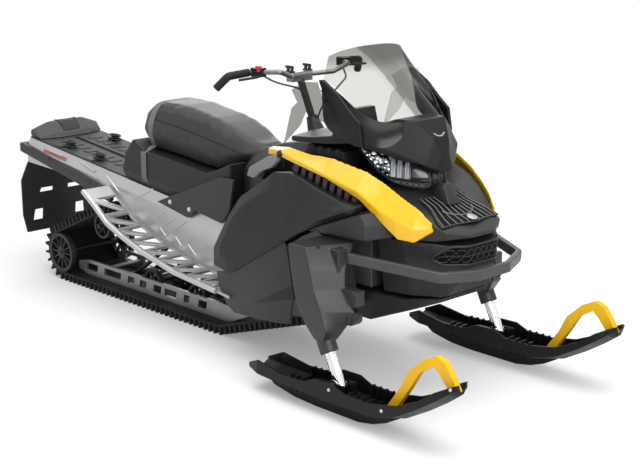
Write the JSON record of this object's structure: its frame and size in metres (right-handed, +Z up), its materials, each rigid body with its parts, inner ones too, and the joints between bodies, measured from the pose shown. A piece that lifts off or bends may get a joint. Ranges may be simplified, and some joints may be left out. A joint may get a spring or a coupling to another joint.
{
  "type": "snowmobile",
  "caption": "Utility snowmobile with a track under an aluminium tunnel, a padded seat, a windshield and two steered skis on telescopic legs.",
  "frame": {"origin": "centre of the bounding box's base, on the ground", "axes": "+X forward to the ski tips, +Y to the rider's left, +Z up"},
  "size_m": [3.325, 1.144, 1.4031],
  "materials": {
    "tunnel_aluminium": "satin",
    "board_aluminium": "satin",
    "bar_steel": "satin",
    "flap_plastic": "matte",
    "mat_rubber": "matte",
    "black_plastic": "satin",
    "control_plastic": "satin",
    "bag_fabric": "matte",
    "seat_vinyl": "satin",
    "strap_webbing": "matte",
    "charcoal_panel": "satin",
    "grey_panel": "satin",
    "yellow_panel": "gloss",
    "yellow_loop": "satin",
    "engine_metal": "matte",
    "lamp_lens": "gloss",
    "smoke_screen": "gloss",
    "leg_casting": "satin",
    "track_rubber": "matte",
    "rail_aluminium": "satin",
    "wheel_plastic": "satin",
    "painted_steel": "satin",
    "bar_aluminium": "satin",
    "red_lens": "gloss",
    "grip_rubber": "matte",
    "cable_black": "satin",
    "strut_metal": "satin",
    "ski_plastic": "satin"
  },
  "bodies": {
    "chassis": {"tunnel": "tunnel_aluminium", "running_board_right": "board_aluminium", "running_board_left": "board_aluminium", "board_rail_right": "board_aluminium", "board_rail_left": "board_aluminium", "rear_bumper": "bar_steel", "snow_flap": "flap_plastic", "deck_mat": "mat_rubber", "cargo_anchors": "black_plastic", "storage_bag": "bag_fabric", "seat_base": "black_plastic", "seat_cushion": "seat_vinyl", "seat_strap": "strap_webbing", "console": "black_plastic", "side_panel_right": "charcoal_panel", "side_panel_left": "charcoal_panel", "side_vents": "black_plastic", "lower_panel_right": "grey_panel", "lower_panel_left": "grey_panel", "front_cowl_right": "grey_panel", "front_cowl_left": "grey_panel", "foot_plates": "grey_panel", "hood_panel_right": "yellow_panel", "hood_panel_left": "yellow_panel", "hood": "black_plastic", "nose": "black_plastic", "belly_pan": "black_plastic", "engine_block": "engine_metal", "headlamp_right": "lamp_lens", "headlamp_left": "lamp_lens", "windshield_pod": "black_plastic", "windshield": "smoke_screen", "side_deflector_right": "smoke_screen", "side_deflector_left": "smoke_screen", "gauge": "black_plastic", "front_bumper": "bar_steel", "leg_right": "leg_casting", "leg_left": "leg_casting", "track": "track_rubber", "slide_rails": "rail_aluminium", "idler_wheels": "wheel_plastic", "suspension_arms": "painted_steel", "hitch": "bar_steel", "rear_lights": "red_lens"},
    "steering": {"steering_post": "painted_steel", "handlebar": "bar_aluminium", "grips": "grip_rubber", "controls_right": "control_plastic", "controls_left": "control_plastic", "control_cables": "cable_black"},
    "strut_right": {"strut_right": "strut_metal"},
    "strut_left": {"strut_left": "strut_metal"},
    "ski_right": {"ski_right": "ski_plastic", "ski_loop_right": "yellow_loop"},
    "ski_left": {"ski_left": "ski_plastic", "ski_loop_left": "yellow_loop"}
  },
  "joints": [
    {"name": "steer", "type": "hinge", "parent": "chassis", "child": "steering", "pos_m": [0.2735, 0, 1.224], "axis": [-0.4231, 0, 0.9061], "range_deg": [-30, 30]},
    {"name": "ski_steer_right", "type": "hinge", "parent": "chassis", "child": "strut_right", "pos_m": [1.0355, -0.492, 0.116], "axis": [-0.4451, 0, 0.8955], "range_deg": [-27, 27]},
    {"name": "ski_steer_left", "type": "hinge", "parent": "chassis", "child": "strut_left", "pos_m": [1.0355, 0.492, 0.116], "axis": [-0.4451, 0, 0.8955], "range_deg": [-27, 27]},
    {"name": "ski_rock_right", "type": "hinge", "parent": "strut_right", "child": "ski_right", "pos_m": [1.0175, -0.492, 0.116], "axis": [0, 1, 0], "range_deg": [-14, 14]},
    {"name": "ski_rock_left", "type": "hinge", "parent": "strut_left", "child": "ski_left", "pos_m": [1.0175, 0.492, 0.116], "axis": [0, 1, 0], "range_deg": [-14, 14]}
  ],
  "couplings": [
    {"joint": "ski_steer_right", "follows": "steer", "ratio": 0.9},
    {"joint": "ski_steer_left", "follows": "steer", "ratio": 0.9}
  ]
}
